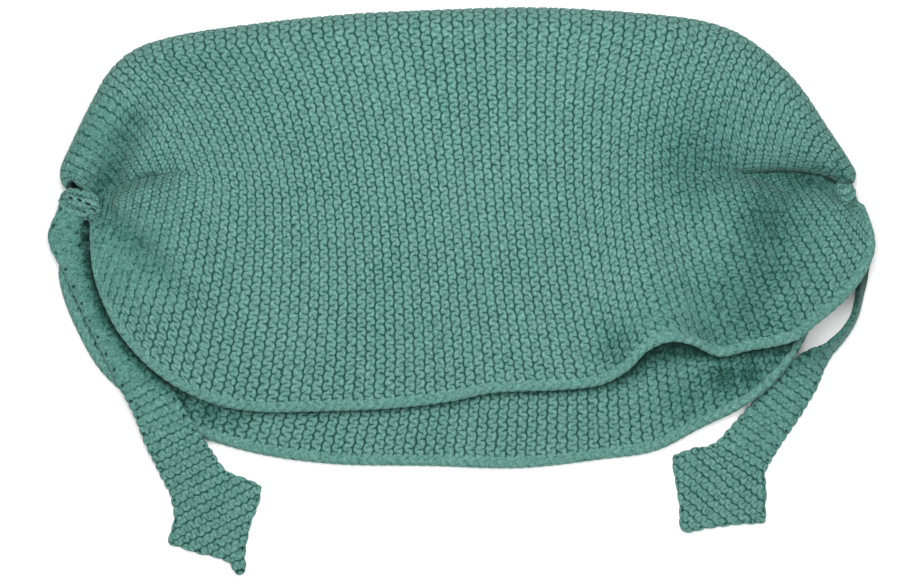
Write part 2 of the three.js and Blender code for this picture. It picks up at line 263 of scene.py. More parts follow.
LEFT_HOLES = (
    (-183.4, 43.9), (-179.2, 42.9), (-175.4, 41.2), (-172.6, 38.4), (-185.8, 40.6), (-181.9, 39.2),
    (-177.8, 37.6),
)
LEFT_TIE = tuple(TieRow(*row) for row in (
    (-180.5, 41, 7.8, 4, 8.4), (-182.5, 34, 7.8, 4.8, 8.6), (-185, 25.5, 7, 6.4, 9.6),
    (-181, 12.5, 6.9, 6.6, 6.6), (-175, 0, 6.9, 7.5, 6.6, 3), (-165.5, -15.5, 6.7, 8.5, 8.6, 4),
    (-153, -35, 6.5, 9, 11, 4), (-142.5, -53.5, 6.7, 10.5, 11.5), (-136, -67.5, 6.8, 12, 12.5, -5),
    (-131.5, -75.5, 5.4, 13, 13, -7), (-128, -82, 3.2, 13.5, 13.5, -4), (-124, -89, 1.85, 13.5, 13.6),
    (-121.4, -94.4, 1.75, 18, 15), (-119, -99, 1.75, 22.5, 17), (-116.5, -103.7, 1.75, 26.6, 23),
    (-115, -106.4, 1.75, 24.2, 26), (-111.5, -113.2, 1.75, 16.5, 17.4), (-108, -119.3, 1.75, 9.4, 9.4),
    (-104.8, -125.5, 1.75, 3.6, 3.6), (-102.8, -132.6, 1.75, 2.6, 2.6),
))
RIGHT_TIE = tuple(TieRow(*row) for row in (
    (187.3, 40.6, 4, 3, 3), (189.5, 25, 3.6, 3.5, 4, 10), (189.5, 11, 5.2, 5, 5, 45),
    (188, -0.5, 6.4, 6, 6, 68), (185, -12, 6.8, 6.5, 6.5, 74), (180, -20, 6.8, 6.5, 6.5, 70),
    (172.5, -27.5, 7.1, 7, 7, 62), (165, -34, 5.5, 8, 8.2, 27), (159, -42, 2.1, 9.6, 8.8),
    (151, -53, 1.85, 10.6, 10.4), (142, -64.5, 1.85, 11.4, 11.6), (135, -74.5, 1.85, 12, 13.2),
    (132.4, -78.8, 1.85, 12, 14.5), (128.5, -84.5, 1.75, 19, 18.5), (123.6, -90, 1.75, 27.4, 23),
    (119.4, -94.7, 1.75, 21.6, 26.6), (114, -101, 1.75, 13.5, 16.8), (108.7, -107, 1.75, 6.4, 7.6),
    (104, -112, 1.9, 2.2, 2.2),
))


def shade_of_edge(edge: np.ndarray, points: np.ndarray, level: float) -> np.ndarray:
    """How deep places lie in the shade of an edge of cloth that hangs over them.

    Args:
        edge: Points along the edge.
        points: The places, one a row.
        level: The height above which the edge casts shade, as far aside as it stands above it.

    Returns:
        Values from 0 in the open to 1 under the edge.
    """
    away = np.hypot(points[:, 0, None] - edge[:, 0], points[:, 1, None] - edge[:, 1])
    reach = np.maximum(edge[away.argmin(axis=1), 2] - level, 0.1)
    return np.exp(-((away.min(axis=1) / reach) ** 2))


def smoothstep(value: np.ndarray, low: float, high: float) -> np.ndarray:
    """Ease a value from 0 at low to 1 at high.

    Args:
        value: The values to ease.
        low: Where the ease starts.
        high: Where it ends.

    Returns:
        The eased values, from 0 to 1.
    """
    share = np.clip((value - low) / (high - low), 0.0, 1.0)
    return share * share * (3.0 - 2.0 * share)


def curve_points(rows: np.ndarray, per_span: int) -> np.ndarray:
    """Sample the centripetal curve through some points, ends included.

    Args:
        rows: The control points, one a row.
        per_span: How many samples each span gets.

    Returns:
        The sampled points.
    """
    ends = np.vstack([2 * rows[0] - rows[1], rows, 2 * rows[-1] - rows[-2]])
    share = np.linspace(0.0, 1.0, per_span, endpoint=False)[:, None]
    spans = []
    for k in range(len(rows) - 1):
        p0, p1, p2, p3 = ends[k : k + 4]
        d0, d1, d2 = (np.sum((b - a) ** 2) ** 0.25 for a, b in ((p0, p1), (p1, p2), (p2, p3)))
        t1 = ((p1 - p0) / d0 - (p2 - p0) / (d0 + d1) + (p2 - p1) / d1) * d1
        t2 = ((p2 - p1) / d1 - (p3 - p1) / (d1 + d2) + (p3 - p2) / d2) * d1
        cubic, square = 2 * p1 - 2 * p2 + t1 + t2, -3 * p1 + 3 * p2 - 2 * t1 - t2
        spans.append(((cubic * share + square) * share + t1) * share + p1)
    return np.vstack([*spans, rows[-1:]])


def walked(points: np.ndarray) -> np.ndarray:
    """The distance walked along a line of points at each of them."""
    return np.concatenate([[0.0], np.cumsum(np.linalg.norm(np.diff(points, axis=0), axis=1))])


def unit(vectors: np.ndarray) -> np.ndarray:
    """Vectors in the same directions, each 1 long."""
    return vectors / np.maximum(np.linalg.norm(vectors, axis=-1, keepdims=True), 1e-9)


class Guide:
    """A smooth line across the panel, walked by the share of ridges passed."""

    def __init__(self, table: GuideTable) -> None:
        """Sample the line of a table closely.

        Args:
            table: The guide line's table.
        """
        self.crowding = table.crowding
        self.points = curve_points(np.array(table.rows, float), 80)
        length = walked(self.points)
        self.shares = length / length[-1]

    def at(self, ridge: np.ndarray) -> np.ndarray:
        """The points where ridges meet the guide.

        Args:
            ridge: Shares of the ridges, from 0 to 1.

        Returns:
            One point for each share, with the coordinates last.
        """
        share = np.clip(ridge + self.crowding * np.sin(2 * np.pi * ridge) / (2 * np.pi), 0, 1)
        return np.stack([np.interp(share, self.shares, self.points[:, k]) for k in range(3)], axis=-1)

    def along(self, ridge: np.ndarray) -> np.ndarray:
        """The guide's direction where ridges meet it."""
        step = 0.002
        return unit(self.at(np.clip(ridge + step, 0, 1)) - self.at(np.clip(ridge - step, 0, 1)))


@dataclass
class PanelSurface:
    """The middle surface of the knitted panel: front layer, roll of the crown fold, back layer."""

    kink: float = 0.8
    kink_ends: tuple[float, float] = (0.06, 0.34)
    fold_shade: float = 0.55
    full_shade_mm: float = 10.0
    hem_shade: float = 0.8
    back_level: float = 7.5
    back_rise: tuple[float, float] = (0.72, 0.98)
    free_of_hem: tuple[float, float] = (0.0, 0.3)
    free_of_roll: tuple[float, float] = (0.82, 1.0)
    pucker_height: float = 1.5
    pucker_waves: float = 9.0
    pucker_reach: float = 0.05
    front_hem: Guide = field(default_factory=lambda: Guide(FRONT_HEM))
    middle: Guide = field(default_factory=lambda: Guide(MIDDLE))
    crown_fold: Guide = field(default_factory=lambda: Guide(CROWN_FOLD))
    back_hem: Guide = field(default_factory=lambda: Guide(BACK_HEM))

    def roll(self, ridge: np.ndarray) -> tuple[np.ndarray, np.ndarray, np.ndarray]:
        """Find the roll of the crown fold on each ridge.

        Args:
            ridge: Shares of the ridges.

        Returns:
            Where it leaves the back layer, its outward direction and its radius.
        """
        open_share = smoothstep(np.minimum(ridge, 1 - ridge), 0.0, GATHERED_SHARE)
        radius = GATHERED_RADIUS + (ROLL_RADIUS - GATHERED_RADIUS) * open_share
        along = self.crown_fold.along(ridge)
        outward = unit(np.stack([-along[..., 1], along[..., 0], np.zeros_like(ridge)], axis=-1))
        base = self.crown_fold.at(ridge) - outward * (radius + WALL / 2)[..., None]
        base[..., 2] = SURFACE_Z
        return base, outward, radius

    @staticmethod
    def arc(start: np.ndarray, half: np.ndarray, end: np.ndarray, t: np.ndarray) -> np.ndarray:
        """The parabola through three points at 0, one half and 1."""
        t = t[..., None]
        return start * (1 - t) * (1 - 2 * t) + half * 4 * t * (1 - t) + end * t * (2 * t - 1)

    @staticmethod
    def drop(x: np.ndarray, y: np.ndarray) -> np.ndarray:
        """Add up all the folds.

        Args:
            x: The places' x.
            y: Their y.

        Returns:
            How far they lower the front layer there.
        """
        total = np.zeros_like(x)
        for fold in FOLDS:
            run_x, run_y = fold.x2 - fold.x1, fold.y2 - fold.y1
            dx, dy = x - fold.x1, y - fold.y1
            share = np.clip((dx * run_x + dy * run_y) / (run_x**2 + run_y**2), 0, 1)
            away2 = ((dx - run_x * share) ** 2 + (dy - run_y * share) ** 2) / fold.width**2
            fade = 1 - share**2 if fold.depth > 0 else np.sin(np.pi * (0.15 + 0.7 * share))
            total += fold.depth * fade * np.exp(-away2)
        return total

    def open_to_light(self, points: np.ndarray, way: np.ndarray) -> np.ndarray:
        """Find how much of the room's light reaches the cloth down in its folds, creases and gaps.

        Args:
            points: The places.
            way: How far along the ridge they are.

        Returns:
            The share of the light, from 0 to 1.
        """
        x, y = points[..., 0], points[..., 1]
        lost = self.fold_shade * np.clip(self.drop(x, y) / self.full_shade_mm, 0, 1.2)
        for crease in CREASES:
            lost = np.maximum(lost, crease.shade * crease.shelter(x, y))
        lost = lost * (way < 1)
        for dark in DARK_PLACES:
            away = np.hypot(x - dark.x, y - dark.y) / dark.radius
            lost = np.maximum(lost, dark.share * np.exp(-(away**2)) * (points[..., 2] < dark.height))
        under = way > 2
        if under.any():
            hung = shade_of_edge(self.hem_line(), points[under], self.back_level)
            lost[under] = np.maximum(lost[under], self.hem_shade * hung)
        return 1 - lost

    def hem_line(self) -> np.ndarray:
        """Points along the front hem."""
        return self.front_hem.at(np.linspace(0, 1, 160))

    def place(self, ridge: np.ndarray, way: np.ndarray) -> np.ndarray:
        """Points of the panel's middle surface.

        Args:
            ridge: Share of the ridges from the left gather, one for each point.
            way: How far along the ridge: 0 to 1 on the front layer from its hem, to 2 round the
                roll, and to 3 on the back layer to its hem.

        Returns:
            The points, in mm, with the coordinates last.
        """
        base, outward, radius = self.roll(ridge)
        middle = self.middle.at(ridge)
        top = base.copy()
        top[..., 2] += 2 * radius
        t = np.clip(way, 0, 1)
        hem = self.front_hem.at(ridge)
        front = self.arc(hem, middle, top, t)
        sharp = self.kink * (1 - smoothstep(np.minimum(ridge, 1 - ridge), *self.kink_ends))[..., None]
        half = 2 * t[..., None]
        bent = np.where(half < 1, hem + (middle - hem) * half, middle + (top - middle) * (half - 1))
        front[..., :2] += ((bent - front) * sharp)[..., :2]
        loose = (1 - smoothstep(t, *self.free_of_roll)) * smoothstep(t, *self.free_of_hem)
        end = np.minimum(ridge, 1 - ridge) / self.pucker_reach
        pucker = self.pucker_height * np.sin(2 * np.pi * self.pucker_waves * t) * np.exp(-end * end)
        lowered = front[..., 2] - (self.drop(front[..., 0], front[..., 1]) - pucker) * loose
        for crease in CREASES:
            pressed, drawn = crease.press(front[..., 0], front[..., 1])
            lowered = lowered - pressed
            front[..., 1] -= drawn
        front[..., 2] = np.maximum(lowered, WALL + CLEAR_INSIDE + WALL / 2)
        turn = np.pi * np.clip(way - 1, 0, 1)
        rolled = base + outward * (radius * np.sin(turn))[..., None]
        rolled[..., 2] = SURFACE_Z + radius * (1 + np.cos(turn))
        t = np.clip(way - 2, 0, 1)
        hem = self.back_hem.at(ridge)
        back = self.arc(base, middle, hem, t)
        back[..., 2] = SURFACE_Z + (hem[..., 2] - SURFACE_Z) * smoothstep(t, *self.back_rise)
        way = way[..., None]
        return np.where(way <= 1, front, np.where(way <= 2, rolled, back))


class StitchMap:
    """Lays even stitches along each ridge, packed closer in the folds beside the gathers."""

    SAMPLES = 480
    CROWD = 2.2
    CROWD_WIDTH = 0.16
    CROWD_ENDS = (0.02, 0.22)

    def __init__(self, surface: PanelSurface) -> None:
        """Measure each ridge and share its stitches out along it.

        Args:
            surface: The panel's middle surface.
        """
        self.surface = surface
        self.ridges = np.linspace(FIRST_RIDGE, 1 - FIRST_RIDGE, 4 * RIDGES + 1)
        ways = np.linspace(0.0, 3.0, self.SAMPLES)
        ridge, way = np.meshgrid(self.ridges, ways, indexing="ij")
        points = surface.place(ridge, way)
        steps = np.linalg.norm(np.diff(points, axis=1), axis=2)
        self.length = np.concatenate([np.zeros((len(self.ridges), 1)), np.cumsum(steps, axis=1)], axis=1)
        self.ways = ways
        middle = (way[:, 1:] + way[:, :-1]) / 2
        near = 1 - smoothstep(np.minimum(ridge, 1 - ridge)[:, 1:], *self.CROWD_ENDS)
        bunched = sum(np.exp(-(((middle - fold) / self.CROWD_WIDTH) ** 2)) for fold in (0.5, 2.5))
        weight = steps * (1 + self.CROWD * near * bunched)
        first = self.length > EDGING_WIDTH - TUCKED_IN
        last = self.length < self.length[:, -1:] - EDGING_WIDTH + TUCKED_IN
        weight *= (first & last)[:, 1:]
        passed = np.concatenate([np.zeros((len(self.ridges), 1)), np.cumsum(weight, axis=1)], axis=1)
        self.passed = STITCHES * passed / passed[:, -1:]

    def way_at(self, ridge: np.ndarray, stitch: np.ndarray) -> np.ndarray:
        """How far along each ridge its stitches lie.

        Args:
            ridge: Ridge shares, one for each column.
            stitch: Stitch numbers from the front hem, the same for every column.

        Returns:
            The ways, one row for each ridge.
        """
        table = np.stack([np.interp(stitch, passed, self.ways) for passed in self.passed])
        return np.stack([np.interp(ridge, self.ridges, column) for column in table.T], axis=-1)

    def way_from_hem(self, ridge: np.ndarray, distance: float, front: bool) -> np.ndarray:
        """Find the points that lie a distance in from a hem.

        Args:
            ridge: Shares of the ridges.
            distance: The distance, in mm.
            front: Whether it is the front hem.

        Returns:
            Their ways, one for each ridge.
        """
        if front:
            found = [np.interp(distance, length, self.ways) for length in self.length]
        else:
            found = [np.interp(length[-1] - distance, length, self.ways) for length in self.length]
        return np.interp(ridge, self.ridges, found)


@dataclass(frozen=True)
class YarnArcs:
    """Sizes of the yarn arcs in one garter ridge, as shares of the ridge and of the stitch.

    Where the cloth is tight its arcs flatten to tight_height, and from fades_from on its valleys close too.
    """

    bow: float = 0.25
    strand: float = 0.30
    tuck: float = 0.3
    weave: float = 0.065
    valley: float = 0.15
    hook_width: float = 0.14
    hook_reach: float = 0.84
    hook_curl: float = 0.25
    hook_depth: float = 0.85
    loose_hooks: float = 0.4
    filled: float = 0.3
    closing: float = 0.8
    tight_height: float = 0.62
    fades_from: float = 0.55
    fades_by: float = 1.6

    @property
    def slope(self) -> float:
        """How steeply the arcs run at their ends."""
        return 6 * self.bow


ARCS = YarnArcs()
# The two rows of arcs in a ridge: which way they bow, their shift along it, and where to find the next
# ridge's row.
ARC_ROWS = ((-1, 0.0, 1.0), (1, 0.5, -1.0))


@dataclass
class GarterRelief:
    """The relief of garter stitch: each ridge is two rows of yarn arcs that hook into each other."""

    ridge_wander: float = 0.07
    stitch_wander: float = 0.22
    crest_wander: float = 0.12
    blur: tuple[float, float] = (0.05, 0.09)
    noise: np.ndarray = field(
        default_factory=lambda: np.random.default_rng(SEED).uniform(-1, 1, (3, 128, 128))
    )

    def wander(self, sheet: int, a: np.ndarray, b: np.ndarray) -> np.ndarray:
        """Read smooth unevenness from one sheet of the noise.

        Args:
            sheet: The sheet's number.
            a: Positions across the sheet.
            b: Positions along it.

        Returns:
            Values from -1 to 1.
        """
        ia, ib = np.floor(a).astype(int), np.floor(b).astype(int)
        fa, fb = a - ia, b - ib
        fa, fb = fa * fa * (3 - 2 * fa), fb * fb * (3 - 2 * fb)
        grid = self.noise[sheet]
        near = grid[ia % 128, ib % 128] * (1 - fa) + grid[(ia + 1) % 128, ib % 128] * fa
        far = grid[ia % 128, (ib + 1) % 128] * (1 - fa) + grid[(ia + 1) % 128, (ib + 1) % 128] * fa
        return near * (1 - fb) + far * fb

    def uneven_places(self, ridge: np.ndarray, stitch: np.ndarray) -> tuple[np.ndarray, np.ndarray]:
        """Move ridges and stitches a little out of line, as a hand knits them.

        Args:
            ridge: Positions across the ridges.
            stitch: Positions along them.

        Returns:
            The uneven positions.
        """
        a = ridge + self.ridge_wander * self.wander(0, ridge * 0.9, stitch * 0.9)
        b = stitch + self.stitch_wander * self.wander(1, ridge * 0.9, stitch * 0.6)
        return a, b

    @staticmethod
    def yarn(ridge: np.ndarray, stitch: np.ndarray, tight: np.ndarray | float = 0.0) -> np.ndarray:
        """Height of the yarn, from 0 between the arcs to 1 on top of them.

        Args:
            ridge: Positions across the ridges.
            stitch: Positions along them.
            tight: How tightly the cloth is drawn: its stitches go first, then the ridges.

        Returns:
            The heights.
        """
        across = ridge - np.floor(ridge)
        total = np.zeros_like(across)
        for side, phase, other in ARC_ROWS:
            along = np.abs((stitch + phase + 0.5) % 1.0 - 0.5) * 2
            path = 0.5 + side * ARCS.bow * (1 - along**3)
            near = np.minimum(np.abs(across - path), np.abs(across - path - other))
            off = near / np.sqrt(1 + ARCS.slope**2 * along**4) / ARCS.strand
            crest = 1 - ARCS.tuck * along**2
            total = np.maximum(total, crest * np.sqrt(np.clip(1 - off**4, 0, 1)))
        line = ridge + ARCS.weave * np.cos(2 * np.pi * stitch)
        apart = np.abs(line - np.rint(line)) / ARCS.valley
        for phase, inward in ((0.0, across), (0.5, 1 - across)):
            turn = (stitch + phase - ARCS.hook_curl * inward) % 1.0
            aside = smoothstep(np.abs(turn - 0.5), 0.0, ARCS.hook_width)
            reach = smoothstep(inward, 0.5 * ARCS.hook_reach, ARCS.hook_reach)
            total = total * (1 - ARCS.hook_depth * (1 - aside) * (1 - reach))
        valley = smoothstep(apart, 0.0, 1.0)
        even = ARCS.tight_height * np.maximum(valley, smoothstep(tight, ARCS.fades_from, 1.0))
        total = total * valley
        return total + (even - total) * np.minimum(ARCS.fades_by * tight, 1.0)

    def height(self, ridge: np.ndarray, stitch: np.ndarray, tight: np.ndarray) -> np.ndarray:
        """The relief as far as the mesh can hold it.

        Args:
            ridge: Uneven positions across the ridges; whole numbers are the valleys between them.
            stitch: Uneven positions along the ridges, in stitches.
            tight: How tightly the cloth is drawn.

        Returns:
            Heights from 0, the bottom of a valley, to about 1.
        """
        da, db = self.blur
        around = ((-da, -db), (-da, db), (da, -db), (da, db))
        total = sum(self.yarn(ridge + x, stitch + y, tight) for x, y in around) / 4
        return total * (1 + self.crest_wander * self.wander(2, ridge, stitch))


def grid_object(
    name: str, rings: np.ndarray, uv: np.ndarray, shade: np.ndarray, tight: np.ndarray
) -> bpy.types.Object:
    """Make a closed piece from a grid whose rows run in closed rings round it.

    Args:
        name: The piece's name.
        rings: Points in mm, as columns by places round the ring by coordinates.
        uv: The pattern's coordinates at the same places, and at one more that closes the ring.
        shade: How open to the light the yarn is there, from 0 in a hole to 1.
        tight: How tightly the cloth is drawn there, from 0 to 1.

    Returns:
        The object, with smooth faces that point outwards.
    """
    columns, around = rings.shape[:2]
    bm = bmesh.new()
    bmesh.ops.create_grid(bm, x_segments=columns - 1, y_segments=around, size=1.0)
    mesh = bpy.data.meshes.new(name)
    bm.to_mesh(mesh)
    bm.free()
    flat = np.empty(len(mesh.vertices) * 3)
    mesh.vertices.foreach_get("co", flat)
    flat = flat.reshape(-1, 3)
    i = np.rint((flat[:, 0] + 1) / 2 * (columns - 1)).astype(int)
    j = np.rint((flat[:, 1] + 1) / 2 * around).astype(int)
    mesh.vertices.foreach_set("co", (rings[i, j % around] * MM).ravel())
    for mark, values in (("shade", shade), ("tight", tight)):
        shown = np.broadcast_to(values, (columns, around))[i, j % around]
        mesh.attributes.new(mark, "FLOAT", "POINT").data.foreach_set("value", shown)
    corner = np.empty(len(mesh.loops), int)
    mesh.loops.foreach_get("vertex_index", corner)
    layer = mesh.uv_layers.new(name="Knit")
    layer.data.foreach_set("uv", uv[i[corner], j[corner]].ravel())
    bm = bmesh.new()
    bm.from_mesh(mesh)
    bm.verts.ensure_lookup_table()
    seam = [bm.verts[k] for k in np.flatnonzero((j == 0) | (j == around))]
    bmesh.ops.remove_doubles(bm, verts=seam, dist=1e-7)
    rims = [e for e in bm.edges if e.is_boundary]
    caps = bmesh.ops.holes_fill(bm, edges=rims, sides=0)["faces"]
    bmesh.ops.recalc_face_normals(bm, faces=bm.faces)
    for face in bm.faces:
        face.smooth = True
    for edge in {edge for cap in caps for edge in cap.edges}:
        edge.smooth = False
    bm.to_mesh(mesh)
    bm.free()
    piece = bpy.data.objects.new(name, mesh)
    bpy.context.scene.collection.objects.link(piece)
    return piece


def normals_of(points: np.ndarray) -> np.ndarray:
    """Find the unit normals of a grid of points.

    Args:
        points: The points, as columns by rows by coordinates.

    Returns:
        The normals, on the side that is outside the cap.
    """
    across = np.gradient(points, axis=0)
    along = np.gradient(points, axis=1)
    return unit(np.cross(across, along))


class Density(Enum):
    """How finely the stitches are modelled: steps across a ridge and steps along a stitch."""

    FINE = (8, 5)
    QUICK = (5, 3)

    @staticmethod
    def now() -> "Density":
        """The density for this run."""
        return Density.FINE


def linear(hex_colour: str) -> tuple[float, float, float, float]:
    """A colour from sRGB hex digits, made linear.

    Args:
        hex_colour: Six hex digits after a hash.

    Returns:
        Red, green, blue and an alpha of 1.
    """
    parts = [int(hex_colour[k : k + 2], 16) / 255 for k in (1, 3, 5)]
    return (*(p / 12.92 if p <= 0.04045 else ((p + 0.055) / 1.055) ** 2.4 for p in parts), 1.0)


class NodeTree:
    """Builds one material's nodes."""

    def __init__(self, name: str) -> None:
        """Start a material without nodes.

        Args:
            name: The material's name.
        """
        self.material = bpy.data.materials.new(name)
        self.material.use_nodes = True
        self.tree = self.material.node_tree
        self.tree.nodes.clear()

    def add(
        self, kind: str, *inputs: object, output: int | str = 0, **settings: object
    ) -> bpy.types.NodeSocket | None:
        """Add a node with its settings and links.

        Args:
            kind: The node's type, after the word ShaderNode.
            inputs: What goes into its inputs in their order, each an output socket or a value, or one
                dict of these by the inputs' names.
            output: The output that is wanted.
            settings: The node's own properties.

        Returns:
            That output of the new node, or None where it has no outputs.
        """
        node = self.tree.nodes.new("ShaderNode" + kind)
        for key, value in settings.items():
            setattr(node, key, value)
        links = inputs[0] if inputs and isinstance(inputs[0], dict) else dict(enumerate(inputs))
        for key, value in links.items():
            if isinstance(value, bpy.types.NodeSocket):
                self.tree.links.new(value, node.inputs[key])
            else:
                node.inputs[key].default_value = value
        return node.outputs[output] if len(node.outputs) else None

    def garter(self, tight: bpy.types.NodeSocket, loose: bpy.types.NodeSocket) -> bpy.types.NodeSocket:
        """The yarn's height between 0 and 1, worked out where the piece's own map puts each stitch.

        Args:
            tight: How tightly the cloth is drawn: its stitches go first, then the ridges.
            loose: How deep the hooks between the arcs are, uneven from stitch to stitch.

        Returns:
            The height.
        """
        split = self.add("SeparateXYZ", self.add("UVMap", uv_map="Knit")).node
        ridge, stitch = split.outputs[0], split.outputs[1]
        across = self.add("Math", ridge, operation="FRACT")
        heights = [self.arc_height(across, stitch, *row) for row in ARC_ROWS]
        wave = self.add("Math", stitch, 2 * math.pi, operation="MULTIPLY")
        wave = self.add("Math", wave, operation="COSINE")
        line = self.add("Math", wave, ARCS.weave, ridge, operation="MULTIPLY_ADD")
        apart = self.add("Math", line, self.add("Math", line, operation="ROUND"), operation="SUBTRACT")
        apart = self.add("Math", apart, operation="ABSOLUTE")
        closed = self.add("Math", loose, -ARCS.filled, ARCS.filled, operation="MULTIPLY_ADD")
        closed = self.add("Math", tight, ARCS.closing, closed, operation="MULTIPLY_ADD")
        valley = self.add("MapRange", apart, 0.0, ARCS.valley, interpolation_type="SMOOTHSTEP")
        valley = self.add("Math", valley, closed, operation="MAXIMUM")
        total = self.add("Math", *heights, operation="MAXIMUM")
        total = self.add("Math", total, valley, operation="MULTIPLY")
        back = self.add("Math", 1.0, across, operation="SUBTRACT")
        for phase, inward in ((0.0, across), (0.5, back)):
            dark = self.hook_shade(stitch, phase, inward, loose)
            kept = self.add("Math", dark, -ARCS.hook_depth, 1.0, operation="MULTIPLY_ADD")
            total = self.add("Math", total, kept, operation="MULTIPLY")
        even = self.add("MapRange", tight, ARCS.fades_from, 1.0, interpolation_type="SMOOTHSTEP")
        even = self.add("Math", valley, even, operation="MAXIMUM")
        even = self.add("Math", even, ARCS.tight_height, operation="MULTIPLY")
        drawn = self.add("Math", tight, ARCS.fades_by, operation="MULTIPLY")
        drawn = self.add("Math", drawn, 1.0, operation="MINIMUM")
        less = self.add("Math", even, total, operation="SUBTRACT")
        return self.add("Math", less, drawn, total, operation="MULTIPLY_ADD")

    def arc_height(
        self, across: bpy.types.NodeSocket, stitch: bpy.types.NodeSocket, side: int, phase: float,
        other: float,
    ) -> bpy.types.NodeSocket:
        """The height of one row of yarn arcs.

        Args:
            across: The place across the ridge, from 0 to 1.
            stitch: The place along it, in stitches.
            side: Which way the arcs bow.
            phase: How far they are shifted along the ridge.
            other: Where the same row of the next ridge lies.

        Returns:
            The height, from 0 beside the arcs to 1 on top of them.
        """
        turn = self.add("Math", stitch, phase + 0.5, operation="ADD")
        turn = self.add("Math", turn, operation="FRACT")
        half = self.add("Math", turn, 0.5, operation="SUBTRACT")
        half = self.add("Math", half, operation="ABSOLUTE")
        along = self.add("Math", half, 2.0, operation="MULTIPLY")
        square = self.add("Math", along, along, operation="MULTIPLY")
        cube = self.add("Math", along, square, operation="MULTIPLY")
        path = self.add("Math", cube, -side * ARCS.bow, 0.5 + side * ARCS.bow, operation="MULTIPLY_ADD")
        off = self.add("Math", across, path, operation="SUBTRACT")
        own = self.add("Math", off, operation="ABSOLUTE")
        beside = self.add("Math", off, other, operation="SUBTRACT")
        beside = self.add("Math", beside, operation="ABSOLUTE")
        near = self.add("Math", own, beside, operation="MINIMUM")
        fourth = self.add("Math", square, square, operation="MULTIPLY")
        steep = self.add("Math", fourth, ARCS.slope**2, 1.0, operation="MULTIPLY_ADD")
        steep = self.add("Math", steep, operation="SQRT")
        thick = self.add("Math", steep, ARCS.strand, operation="MULTIPLY")
        share = self.add("Math", near, thick, operation="DIVIDE")
        share = self.add("Math", share, 4.0, operation="POWER")
        inside = self.add("Math", 1.0, share, operation="SUBTRACT")
        inside = self.add("Math", inside, 0.0, operation="MAXIMUM")
        top = self.add("Math", inside, operation="SQRT")
        crest = self.add("Math", square, -ARCS.tuck, 1.0, operation="MULTIPLY_ADD")
        return self.add("Math", crest, top, operation="MULTIPLY")

    def hook_shade(
        self, stitch: bpy.types.NodeSocket, phase: float, inward: bpy.types.NodeSocket,
        loose: bpy.types.NodeSocket,
    ) -> bpy.types.NodeSocket:
        """How deep the gap where one arc hooks into the next is, from 0 to 1.

        Args:
            stitch: The place along the ridge, in stitches.
            phase: How far the hooks are shifted along it.
            inward: How far the place lies in from the side that they start at.
            loose: How deep they are, uneven from stitch to stitch.

        Returns:
            The depth.
        """
        curled = self.add("Math", inward, -ARCS.hook_curl, phase, operation="MULTIPLY_ADD")
        turn = self.add("Math", stitch, curled, operation="ADD")
        turn = self.add("Math", turn, operation="FRACT")
        away = self.add("Math", turn, 0.5, operation="SUBTRACT")
        away = self.add("Math", away, operation="ABSOLUTE")
        aside = self.add("MapRange", away, ARCS.hook_width, 0.0, interpolation_type="SMOOTHSTEP")
        reach = ARCS.hook_reach
        short = self.add("MapRange", inward, reach, 0.5 * reach, interpolation_type="SMOOTHSTEP")
        uneven = self.add("Math", loose, ARCS.loose_hooks, 1 - ARCS.loose_hooks, operation="MULTIPLY_ADD")
        dark = self.add("Math", aside, short, operation="MULTIPLY")
        return self.add("Math", dark, uneven, operation="MULTIPLY")


class Pattern(Enum):
    """What a yarn is worked into."""

    GARTER = "garter"
    CHAIN = "chain"


# Random unevenness of the yarn: the size of its spots in mm, how finely they break up, and their swirl.
# Cotton fibres are about 0.02 mm thick, and the fibre spots are drawn coarser so that they show.
MOTTLES = {
    "blotch": (1000 / 28, 3.0, 0.0),
    "worn": (1000 / 420, 3.0, 0.0),
    "pit": (1.4, 0.0, 0.0),
    "grain": (1.1, 4.0, 0.0),
    "ply": (0.9, 2.0, 0.8),
    "fibre": (0.35, 4.0, 0.0),
}


